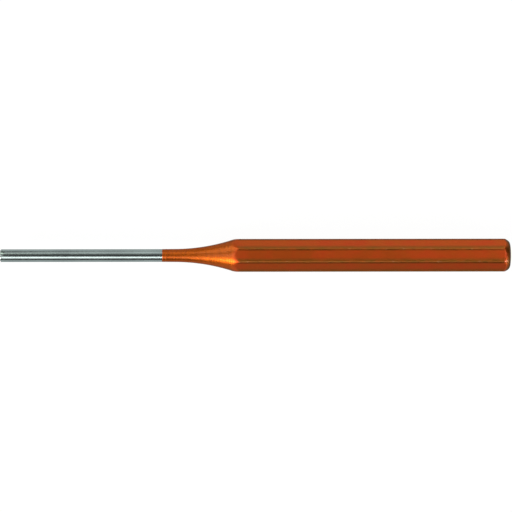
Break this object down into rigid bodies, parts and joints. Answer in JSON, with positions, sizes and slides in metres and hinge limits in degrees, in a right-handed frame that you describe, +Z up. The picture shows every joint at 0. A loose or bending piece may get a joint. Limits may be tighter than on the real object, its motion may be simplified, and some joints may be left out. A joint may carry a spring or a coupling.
{
  "type": "pin punch",
  "caption": "Pin punch: an octagonal steel bar turned down through a long hollow neck to a slim parallel pin, lacquered except on the pin.",
  "frame": {"origin": "below the middle of the punch's length, on the surface that it lies on", "axes": "+X along the punch from the working tip to the struck head, +Z up, with the punch lying on one flat of its octagon"},
  "size_m": [0.1576, 0.0102, 0.0101],
  "materials": {
    "ground_steel": "satin",
    "copper_lacquer": "satin"
  },
  "bodies": {
    "root": {"steel_punch": "ground_steel", "lacquer_coat": "copper_lacquer"}
  },
  "joints": []
}
